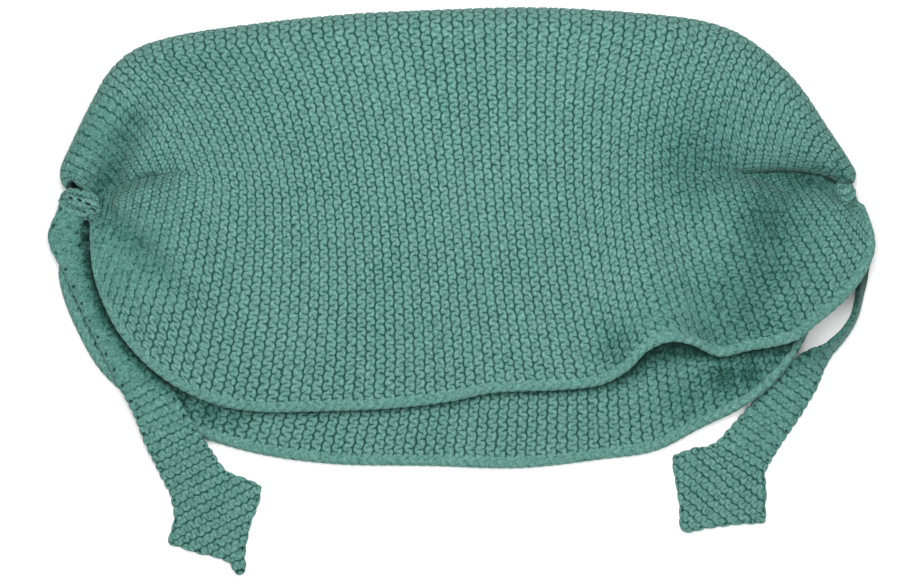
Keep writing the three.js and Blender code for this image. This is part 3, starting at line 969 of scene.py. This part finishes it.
@dataclass(frozen=True)
class CottonYarn:
    """Soft-spun cotton yarn of a sea-green dye."""

    name: str
    pattern: Pattern
    # The colour ramp paints shade by the yarn's height: deep is the painted shade down in the valleys, gaps
    # and shaded places, and the ramp lightens through body to crest on the tops.
    deep: str = "#043c31"
    body: str = "#406e66"
    crest: str = "#5b847b"
    halo: str = "#bfe6dd"
    roughness: float = 0.88
    arc_mm: float = 0.9
    ply_relief_mm: float = 0.5
    fibre_relief_mm: float = 0.3
    hand_mm: float = 1000 / 260
    pit_shade: float = 0.24
    gap_shade: float = 0.75

    def relief(
        self, nodes: NodeTree, place: bpy.types.NodeSocket, shade: bpy.types.NodeSocket
    ) -> bpy.types.NodeSocket:
        """The yarn's height, lowered by the painted shade: the garter stitches, or for a chain the painted
        shade that its own mesh carries.

        Args:
            nodes: The material's nodes.
            place: The place on the piece.
            shade: How open to the light it is.

        Returns:
            The height, from 0 to 1.
        """
        if self.pattern is Pattern.CHAIN:
            return shade
        tight = nodes.add("Attribute", attribute_name="tight", output="Fac")
        hand = nodes.add("TexNoise", {"Vector": place, "Scale": 1 / (self.hand_mm * MM), "Detail": 1.0})
        loose = nodes.add("MapRange", hand, 0.25, 0.65, interpolation_type="SMOOTHSTEP")
        return nodes.add("Math", nodes.garter(tight, loose), shade, operation="MULTIPLY")

    def build(self) -> bpy.types.Material:
        """Build the yarn's material, with its plies, fibres and painted shade in its valleys and gaps.

        Returns:
            The material.
        """
        nodes = NodeTree(self.name)
        shade = nodes.add("Attribute", attribute_name="shade", output="Fac")
        place = nodes.add("TexCoord", output="Object")
        relief = self.relief(nodes, place, shade)
        noise = {}
        for what, (spot_mm, detail, swirl) in MOTTLES.items():
            size = {"Scale": 1 / (spot_mm * MM), "Detail": detail, "Distortion": swirl}
            noise[what] = nodes.add("TexNoise", {"Vector": place, **size})
        lifted = relief
        swings = (("fibre", 0.34), ("worn", 0.9), ("blotch", 0.22))
        for what, swing in swings:
            lifted = nodes.add("Math", noise[what], swing, lifted, operation="MULTIPLY_ADD")
        level = sum(swing for _, swing in swings) / 2
        lifted = nodes.add("Math", lifted, level, operation="SUBTRACT")
        pit = nodes.add("MapRange", noise["pit"], 0.42, 0.3, interpolation_type="SMOOTHSTEP")
        lifted = nodes.add("Math", pit, -self.pit_shade, lifted, operation="MULTIPLY_ADD")
        # Painted shade: the ramp darkens the yarn towards deep where the relief, lowered by the shade
        # attribute, is low.
        ramp = nodes.add("ValToRGB", lifted)
        stops = ramp.node.color_ramp.elements
        stops[0].position, stops[0].color = 0.05, linear(self.deep)
        stops[1].position, stops[1].color = 1.0, linear(self.crest)
        stops.new(0.45).color = linear(self.body)
        # Little light gets down into deep gaps between the cloths, and their yarn looks nearly black.
        hidden = nodes.add("Math", 1.0, shade, operation="SUBTRACT")
        hidden = nodes.add("Math", hidden, hidden, operation="MULTIPLY")
        dim = nodes.add("Math", hidden, -self.gap_shade, 1.0, operation="MULTIPLY_ADD")
        lit = nodes.add("Math", noise["grain"], 1.7, 0.15, operation="MULTIPLY_ADD")
        lit = nodes.add("Math", lit, dim, operation="MULTIPLY")
        # The yarn's colour with the painted shade of its valleys and gaps, and its random grain.
        colour_and_painted_shade = nodes.add("HueSaturation", {"Color": ramp, "Value": lit})
        bumps = (
            (relief, 0.6, self.arc_mm),
            (noise["ply"], 0.3, self.ply_relief_mm),
            (noise["fibre"], 0.3, self.fibre_relief_mm),
        )
        facing = {}
        for height, strength, depth_mm in bumps:
            links = {"Height": height, "Strength": strength, "Distance": depth_mm * MM, **facing}
            facing = {"Normal": nodes.add("Bump", links)}
        # Unmercerised cotton is dull: it scatters the light, with hardly a highlight and a pale halo of
        # fibre ends at grazing angles.
        finish = {
            "Base Color": colour_and_painted_shade,
            "Roughness": self.roughness,
            "IOR": 1.5,
            "Specular IOR Level": 0.18,
            "Sheen Weight": 0.16,
            "Sheen Roughness": 0.6,
            "Sheen Tint": linear(self.halo),
        }
        nodes.add("OutputMaterial", {"Surface": nodes.add("BsdfPrincipled", {**finish, **facing})})
        return nodes.material


@dataclass(frozen=True)
class PaleBoard:
    """Matt painted board, near white."""

    name: str = "matt_painted_board"
    roller_mm: float = 1000 / 6
    paint: tuple[str, str] = ("#f4f5f4", "#fbfbfa")

    def build(self) -> bpy.types.Material:
        """Build the board's material.

        Returns:
            The material.
        """
        nodes = NodeTree(self.name)
        place = nodes.add("TexCoord", output="Object")
        # Matt paint shows no highlight, only the faint unevenness that the roller left.
        roller = nodes.add("TexNoise", {"Vector": place, "Scale": 1 / (self.roller_mm * MM), "Detail": 2.0})
        ramp = nodes.add("ValToRGB", roller)
        for stop, colour in zip(ramp.node.color_ramp.elements, self.paint):
            stop.color = linear(colour)
        shader = nodes.add("BsdfPrincipled", {"Base Color": ramp, "Roughness": 0.95})
        nodes.add("OutputMaterial", {"Surface": shader})
        return nodes.material


def dress(piece: bpy.types.Object, material: bpy.types.Material, slot: str, *nodes: str) -> None:
    """Give a piece its material and body, and hide the CAD nodes it stands for.

    Args:
        piece: The piece.
        material: Its material.
        slot: The record's material slot, which is not used.
        nodes: The CAD nodes it stands for.
    """
    piece.data.materials.clear()
    piece.data.materials.append(material)
    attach(piece, "root")
    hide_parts(*nodes)
    triangles = sum(len(p.vertices) - 2 for p in piece.data.polygons)
    log.info("%s: %d triangles", piece.name, triangles)


@dataclass
class KnittedPanel:
    """The cap's panel: the front with the crown's roll in two halves, and the back layer."""

    surface: PanelSurface
    stitches: StitchMap
    relief: GarterRelief
    core: float = 1.3
    depth: float = 0.85
    full_stitch_mm: float = 4.2
    tight_flattens: float = 0.6
    plain_height: float = 0.55
    join_stitch: float = 50.0
    back_shown: float = 20.0
    inner_step: float = 2.5
    first: float = 0.004

    def tightness(self, points: np.ndarray) -> np.ndarray:
        """Find how tightly the cloth is drawn.

        Args:
            points: The places.

        Returns:
            The tightness, from 0 to 1.
        """
        tight = np.zeros(points.shape[:2])
        for patch in SMOOTH_PATCHES:
            away = np.hypot(points[..., 0] - patch.x, points[..., 1] - patch.y) / patch.radius
            tight = np.maximum(tight, patch.share * np.exp(-(away**2)))
        return tight

    def amplitude(self, points: np.ndarray, ridge: np.ndarray, stitch: np.ndarray) -> np.ndarray:
        """Find how tall the relief stands, less where the cloth is bunched.

        Args:
            points: The places, as columns by rows by coordinates.
            ridge: Ridge numbers of the columns.
            stitch: Stitch numbers of the rows.

        Returns:
            The height of a whole ridge at each place, in mm.
        """
        wide = np.linalg.norm(np.gradient(points, axis=0), axis=2) / np.gradient(ridge)[:, None]
        long = np.linalg.norm(np.gradient(points, axis=1), axis=2) / np.gradient(stitch)[None, :]
        return self.depth * np.clip(np.minimum(wide, long) / self.full_stitch_mm, 0.12, 1.05)

    def side(
        self, ridge: np.ndarray, stitch: np.ndarray, outward: float, fine: bool
    ) -> tuple[np.ndarray, np.ndarray, np.ndarray, np.ndarray]:
        """One face of the panel.

        Args:
            ridge: Ridge numbers of the columns.
            stitch: Stitch numbers of the rows, in rising order.
            outward: 1 for the outer face and -1 for the inner one.
            fine: Whether the stitches are modelled.

        Returns:
            The face's points, how open they are to the light, its tightness and its stitch map.
        """
        share = self.first + (1 - 2 * self.first) * ridge / RIDGES
        way = self.stitches.way_at(share, stitch)
        points = self.surface.place(np.broadcast_to(share[:, None], way.shape), way)
        tight = self.tightness(points)
        amplitude = self.amplitude(points, ridge, stitch) * (1 - self.tight_flattens * tight)
        a, b = np.meshgrid(ridge + (0.0 if outward > 0 else 0.5), stitch, indexing="ij")
        a, b = self.relief.uneven_places(a, b)
        relief = self.relief.height(a, b, tight) if fine else np.full(a.shape, self.plain_height)
        offset = outward * (self.core + amplitude * relief)
        lit = self.surface.open_to_light(points, way)
        return points + normals_of(points) * offset[..., None], lit, tight, np.stack([a, b], axis=-1)

    def piece(
        self, name: str, ridges: tuple[float, float], outer: np.ndarray, inner: np.ndarray,
        outer_fine: bool, inner_fine: bool,
    ) -> bpy.types.Object:
        """One closed piece of the panel, from its outer and inner faces.

        Args:
            name: The piece's name.
            ridges: Its first and last ridge.
            outer: Stitch numbers of the outer face's rows.
            inner: Stitch numbers of the inner face's rows.
            outer_fine: Whether the outer face has modelled stitches.
            inner_fine: Whether the inner face has them.

        Returns:
            The piece.
        """
        per_ridge = Density.now().value[0]
        ridge = np.linspace(*ridges, int(round((ridges[1] - ridges[0]) * per_ridge)) + 1)
        outside = self.side(ridge, outer, 1, outer_fine)
        inside = self.side(ridge, inner, -1, inner_fine)
        rings, lit, tight, places = (
            np.concatenate([out, back[:, ::-1]], axis=1) for out, back in zip(outside, inside)
        )
        uv = np.concatenate([places, places[:, :1]], axis=1)
        return grid_object(name, rings, uv, lit, tight)

    def rows(self, start: float, end: float, step: float) -> np.ndarray:
        """Evenly spaced stitch numbers from start to end."""
        return np.linspace(start, end, max(2, int(round((end - start) / step)) + 1))

    def build(self, yarn: bpy.types.Material) -> list[bpy.types.Object]:
        """Build the three pieces of the panel.

        Args:
            yarn: The yarn's material.

        Returns:
            The pieces.
        """
        fine = 1 / Density.now().value[1]
        pieces = []
        half = RIDGES / 2
        for name, ridges in (("crown_front_left", (0, half)), ("crown_front_right", (half, RIDGES))):
            outer = self.rows(0, self.join_stitch, fine)
            inner = self.rows(0, self.join_stitch, self.inner_step)
            pieces.append(self.piece(name, ridges, outer, inner, True, False))
        shown = STITCHES - self.back_shown
        outer = self.rows(self.join_stitch, STITCHES, self.inner_step)
        inner = np.concatenate(
            [self.rows(self.join_stitch, shown, self.inner_step)[:-1], self.rows(shown, STITCHES, fine)]
        )
        pieces.append(self.piece("crown_back", (0, RIDGES), outer, inner, False, True))
        for piece in pieces:
            dress(piece, yarn, "garter_knit", "crown")
        return pieces


@dataclass
class HemEdging:
    """The rounded chain edging worked along a hem."""

    surface: PanelSurface
    stitches: StitchMap
    half_width: float = 3.0
    half_thickness: float = 2.3
    hem_mm: float = 470.0
    link_mm: float = 4.6
    link_lean: float = 0.7
    swell: float = 0.1
    groove: float = 0.2
    groove_width: float = 0.22
    around: int = 20
    per_link: int = 8

    def build(self, name: str, front: bool, yarn: bpy.types.Material) -> bpy.types.Object:
        """Build the edging of one hem.

        Args:
            name: Its node's name, which the piece's name starts with.
            front: Whether it is the front hem.
            yarn: The yarn's material.

        Returns:
            The piece.
        """
        links = int(self.hem_mm / self.link_mm)
        ridge = np.linspace(FIRST_RIDGE, 1 - FIRST_RIDGE, links * self.per_link + 1)
        line = [
            self.surface.place(ridge, self.stitches.way_from_hem(ridge, d, front))
            for d in (0.3, EDGING_WIDTH / 2, EDGING_WIDTH - 0.2)
        ]
        inward = unit(line[2] - line[0])
        middle = line[1]
        along = unit(np.gradient(middle, axis=0))
        up = unit(np.cross(along, inward)) * (1 if front else -1)
        link = walked(middle) / self.link_mm
        angle = np.linspace(0, 2 * np.pi, self.around, endpoint=False)
        across, height = np.cos(angle), np.sin(angle)
        lean = link[:, None] + self.link_lean * (np.abs(across) * np.sign(0.5 + height))[None, :]
        puff = np.abs(np.sin(np.pi * lean)) ** 0.6
        groove = 1 - self.groove * np.exp(-((across / self.groove_width) ** 2)) * (height > 0)
        size = 1 + self.swell * (puff * groove[None, :] - 0.62)
        wide = (self.half_width * across[None, :] * size)[..., None] * inward[:, None]
        tall = (self.half_thickness * height[None, :] * size)[..., None] * up[:, None]
        rings = middle[:, None] + wide + tall
        # Painted shade: the edging's yarn is painted darker in its groove and between its links, by its
        # shape.
        relief = np.clip(0.45 + 0.4 * puff * groove[None, :], 0, 1)
        turns = np.linspace(0, 1, self.around + 1)
        uv = np.stack(np.meshgrid(link, turns, indexing="ij"), axis=-1)
        piece = grid_object(f"{name}_chain", rings, uv, relief, np.zeros(relief.shape))
        dress(piece, yarn, "chain_edging", name)
        return piece


@dataclass
class KnittedTie:
    """A garter-stitch tie that widens to a square end on its point."""

    rows: tuple[TieRow, ...]
    relief: GarterRelief
    ridge_mm: float = 4.5
    stitch_mm: float = 3.7
    core: float = 1.4
    depth: float = 0.6
    scallop: float = 1.1
    smooth_mm: float = 65.0
    smooth_ends_mm: float = 40.0
    square_mm: float = 125.0
    square_eases_mm: tuple[float, float] = (15.0, 5.0)
    tight_flattens: float = 0.6
    strap_tight: float = 0.92
    worked_looser: float = 0.48
    square_looser: float = 0.22
    per_span: int = 60
    per_ridge: int = 8
    across: int = 72
    corner_mm: float = 4.0
    tail_mm: float = 3.0
    level: float = 5.5
    hem_shade: float = 0.95
    pit_mm: float = 8.6
    pit_radius: float = 0.7
    pit_inset: float = 1.7
    pit_depth: float = 0.8

    @staticmethod
    def spread(values: np.ndarray, length: np.ndarray, spots: np.ndarray) -> np.ndarray:
        """Columns of values read at some distances along the tie."""
        return np.stack([np.interp(spots, length, column) for column in values.T], axis=-1)

    @staticmethod
    def rounded(widths: np.ndarray, window: int) -> np.ndarray:
        """Even out the half widths so that the corners come out round.

        Args:
            widths: The half widths.
            window: How many rows on each side count.

        Returns:
            As many half widths.
        """
        padded = np.pad(widths, window, mode="edge")
        kernel = np.hanning(2 * window + 1)
        return np.convolve(padded, kernel / kernel.sum(), mode="valid")

    def build(self, name: str, hem: np.ndarray, yarn: bpy.types.Material) -> bpy.types.Object:
        """Build the tie.

        Args:
            name: Its node's name, which the piece's name starts with.
            hem: Points along the hem that lies over the tie's edge.
            yarn: The yarn's material.

        Returns:
            The piece.
        """
        spots, middle, left, right, turn = self.course()
        ridge = spots / self.ridge_mm
        along = unit(np.gradient(middle, axis=0))
        flat_right = unit(np.cross(along, [0.0, 0.0, 1.0]))
        level = np.cross(flat_right, along)
        tilt = np.radians(turn)[:, None]
        sideways = flat_right * np.cos(tilt) + level * np.sin(tilt)
        normal = np.cross(sideways, along)
        worked = smoothstep(spots, self.smooth_mm, self.smooth_mm + self.smooth_ends_mm)
        before, after = self.square_eases_mm
        square = smoothstep(spots, self.square_mm - before, self.square_mm + after)
        drawn = self.strap_tight - self.worked_looser * worked - self.square_looser * square
        left_over = np.clip((spots[-1] - spots) / self.tail_mm, 0.02, 1)
        end = np.sqrt(1 - (1 - left_over) ** 2)[:, None]
        nub = self.scallop * (np.abs(np.sin(np.pi * ridge)) ** 0.7 - 0.5) * (1 - 0.8 * drawn)
        share = np.linspace(-1, 1, self.across + 1)
        top, under = share, share[::-1][1:-1]
        ring = np.concatenate([top, under])
        facing = np.concatenate([np.ones(len(top)), -np.ones(len(under))])
        reach = np.where(ring > 0, (right + nub)[:, None] * ring, (left + nub)[:, None] * ring)
        turned = np.where(facing > 0, 0, 0.5)[None, :]
        a, b = self.relief.uneven_places(ridge[:, None] + turned, reach / self.stitch_mm)
        tight = np.broadcast_to(drawn[:, None], a.shape)
        relief = self.relief.height(a, b, tight)
        rounding = np.sqrt(np.clip(1 - np.abs(ring) ** 3.5, 0, 1))[None, :]
        inset = self.pit_inset / np.maximum(np.where(ring > 0, right[:, None], left[:, None]), 3.0)
        beside = (np.abs(ring) - 1 + inset) / inset * self.pit_inset / self.pit_radius
        between = ((spots / self.pit_mm) % 1 - 0.5) * self.pit_mm / self.pit_radius
        pits = np.exp(-((beside**2 + between[:, None] ** 2) ** 2)) * (facing > 0)
        relief = relief * (1 - self.pit_depth * pits)
        height = self.depth * (1 - self.tight_flattens * tight) * relief
        thick = end * facing * rounding * (self.core + height)
        wide = (end * reach)[..., None]
        rings = middle[:, None] + sideways[:, None] * wide + normal[:, None] * thick[..., None]
        uv = np.stack([a, b], axis=-1)
        uv = np.concatenate([uv, uv[:, :1]], axis=1)
        # Painted shade: the pits are painted dark as well as dented, and the tie is painted darker where the
        # front hem hangs over it.
        hung = shade_of_edge(hem, rings.reshape(-1, 3), self.level).reshape(pits.shape)
        lit = (1 - pits) * (1 - self.hem_shade * hung)
        piece = grid_object(f"{name}_knit", rings, uv, lit, tight)
        dress(piece, yarn, "garter_knit", name)
        return piece

    def course(self) -> tuple[np.ndarray, np.ndarray, np.ndarray, np.ndarray, np.ndarray]:
        """Run smoothly through the tie's rows.

        Returns:
            Even distances along the tie, and at each the middle, the left and right half widths and the tilt.
        """
        table = np.array([[r.x, r.y, r.z, r.left, r.right, r.turn] for r in self.rows], float)
        path = curve_points(table[:, :3], self.per_span)
        at = np.arange(len(path)) / self.per_span
        sizes = np.stack([np.interp(at, np.arange(len(table)), table[:, k]) for k in (3, 4, 5)], axis=-1)
        length = walked(path)
        count = int(round(length[-1] / self.ridge_mm * self.per_ridge))
        spots = np.linspace(0, length[-1], count + 1)
        left, right, turn = self.spread(sizes, length, spots).T
        window = max(1, int(self.corner_mm / spots[1]))
        middle = self.spread(path, length, spots)
        return spots, middle, self.rounded(left, window), self.rounded(right, window), turn


@dataclass
class BoundGather:
    """The panel's side edge drawn up into pleats and sewn through, with holes between its turns."""

    centre: tuple[float, float, float]
    size: tuple[float, float, float]
    heading: float
    holes: tuple[tuple[float, float], ...] = ()
    pleats: int = 7
    pleat_depth: float = 0.16
    stitch_mm: float = 2.6
    stitch_depth: float = 0.5
    hole_radius: float = 1.05
    hole_depth: float = 2.4
    around: int = 192
    along: int = 72

    def build(self, name: str, yarn: bpy.types.Material) -> bpy.types.Object:
        """Build the gather.

        Args:
            name: Its node's name, which the piece's name starts with.
            yarn: The yarn's material.

        Returns:
            The piece.
        """
        polar = np.linspace(0.06, np.pi - 0.06, self.along)
        angle = np.linspace(0, 2 * np.pi, self.around + 1)
        p, q = np.meshgrid(polar, angle, indexing="ij")
        fold = np.abs(np.sin(q * self.pleats / 2 + 0.6 * np.sin(p * 3))) ** 0.6
        radius = 1 - self.pleat_depth * (1 - fold)
        local = np.stack(
            [
                self.size[0] * np.cos(p) * (0.94 + 0.06 * np.cos(3 * q)),
                self.size[1] * np.sin(p) ** 0.8 * np.cos(q) * radius,
                self.size[2] * np.sin(p) ** 0.6 * np.sin(q) * radius,
            ],
            axis=-1,
        )
        c, s = math.cos(math.radians(self.heading)), math.sin(math.radians(self.heading))
        rings = local @ np.array([[c, s, 0], [-s, c, 0], [0, 0, 1]]) + np.array(self.centre)
        open_share = np.zeros(p.shape)
        for x, y in self.holes:
            slant = 0.5 * (rings[..., 0] - x) + (rings[..., 1] - y)
            away = np.hypot(rings[..., 0] - x, 1.9 * slant) / self.hole_radius
            open_share = np.maximum(open_share, np.exp(-(away**4)) * (rings[..., 2] > self.centre[2]))
        rings[..., 2] -= self.hole_depth * open_share
        ridge = q * self.size[1] / self.stitch_mm / 1.5
        stitch = np.cos(p) * self.size[0] / self.stitch_mm
        relief = GarterRelief.yarn(ridge, stitch) * (1 - open_share)
        rings[..., 2] += self.stitch_depth * relief * np.sign(local[..., 2])
        # Painted shade: the yarn is painted darker down between the pleats and nearly black in the dented
        # holes, and lighter on the stitches' tops.
        closed = np.clip(0.1 + 0.5 * fold + 0.4 * relief - 0.9 * open_share, 0, 1)
        uv = np.stack([ridge, stitch], axis=-1)
        ring = slice(0, self.around)
        tight = np.zeros(closed[:, ring].shape)
        piece = grid_object(f"{name}_pleats", rings[:, ring], uv, closed[:, ring], tight)
        dress(piece, yarn, "chain_edging", name)
        return piece


@dataclass(frozen=True)
class Studio:
    """The pale floor, the soft lights and the camera above the cap."""

    distance: float = 0.95
    elevation: float = 86.0
    mm_per_pixel: float = 0.47
    width_px: int = 900
    target: tuple[float, float, float] = (-0.0049, -0.0005, 0.008)
    floor_reach: float = 3.0
    floor_gap: float = 0.0004
    room_light: float = 0.36

    def aim(self, thing: bpy.types.Object, target: tuple[float, float, float]) -> None:
        """Turn a light or camera so that it looks at a target."""
        thing.rotation_euler = (Vector(target) - thing.location).to_track_quat("-Z", "Y").to_euler()

    def camera(self) -> None:
        """Set the camera at the photo's angle."""
        data = bpy.data.cameras.new("camera")
        data.sensor_width = 36.0
        data.lens = data.sensor_width * self.distance / (self.width_px * self.mm_per_pixel * MM)
        view = bpy.data.objects.new("camera", data)
        tilt = math.radians(self.elevation)
        back = Vector((0.0, -math.cos(tilt), math.sin(tilt))) * self.distance
        view.location = Vector(self.target) + back
        self.aim(view, self.target)
        bpy.context.scene.collection.objects.link(view)
        bpy.context.scene.camera = view

    def light(self, name: str, place: tuple[float, float, float], size: float, watts: float) -> None:
        """Add a soft square light that faces the cap.

        Args:
            name: Its name.
            place: Where it hangs.
            size: The length of its sides.
            watts: Its power.
        """
        data = bpy.data.lights.new(name, "AREA")
        data.size = size
        data.energy = watts
        lamp = bpy.data.objects.new(name, data)
        lamp.location = place
        self.aim(lamp, (0, 0, 0))
        bpy.context.scene.collection.objects.link(lamp)

    def build(self) -> None:
        """Make the floor, lights and camera."""
        bm = bmesh.new()
        bmesh.ops.create_grid(bm, x_segments=8, y_segments=8, size=self.floor_reach)
        mesh = bpy.data.meshes.new("floor")
        bm.to_mesh(mesh)
        bm.free()
        for vertex in mesh.vertices:
            vertex.co.z = -self.floor_gap
        floor = bpy.data.objects.new("floor", mesh)
        mesh.materials.append(PaleBoard().build())
        bpy.context.scene.collection.objects.link(floor)
        self.camera()
        self.light("window", (0.0, 0.13, 0.52), 0.3, 2.9)
        self.light("fill", (0.0, -0.9, 2.2), 2.4, 42.0)
        world = bpy.data.worlds.new("room")
        world.use_nodes = True
        sky = world.node_tree.nodes["Background"]
        sky.inputs["Color"].default_value = linear("#eef2f4")
        sky.inputs["Strength"].default_value = self.room_light
        bpy.context.scene.world = world
        bpy.context.scene.view_settings.view_transform = "Standard"


def main() -> None:
    """Build the cap's pieces in order."""
    logging.basicConfig(level=logging.INFO, format="%(message)s")
    Studio().build()
    surface = PanelSurface()
    stitches = StitchMap(surface)
    relief = GarterRelief()
    knit = CottonYarn("spun_cotton_in_garter_stitch", Pattern.GARTER).build()
    # The chain yarn's ramp colours: deep is its painted shade in the valleys and gaps.
    chain = CottonYarn(
        "spun_cotton_in_chain", Pattern.CHAIN, deep="#084034", body="#45746b", crest="#5c867d"
    ).build()
    panel = KnittedPanel(surface, stitches, relief).build(knit)
    edging = HemEdging(surface, stitches)
    edging.build("front_edging", True, chain)
    edging.build("back_edging", False, chain)
    BoundGather((-179.3, 41.5, 5.7), (10.5, 7.6, 5.1), -14, LEFT_HOLES).build("left_gather", chain)
    BoundGather((181.6, 47, 5.9), (5, 6.4, 5.2), 22).build("right_gather", chain)
    hem = surface.hem_line()
    left = KnittedTie(LEFT_TIE, relief).build("left_tie", hem, knit)
    right = KnittedTie(RIGHT_TIE, relief, smooth_mm=45, square_mm=140).build("right_tie", hem, knit)


if __name__ == "__main__":
    main()
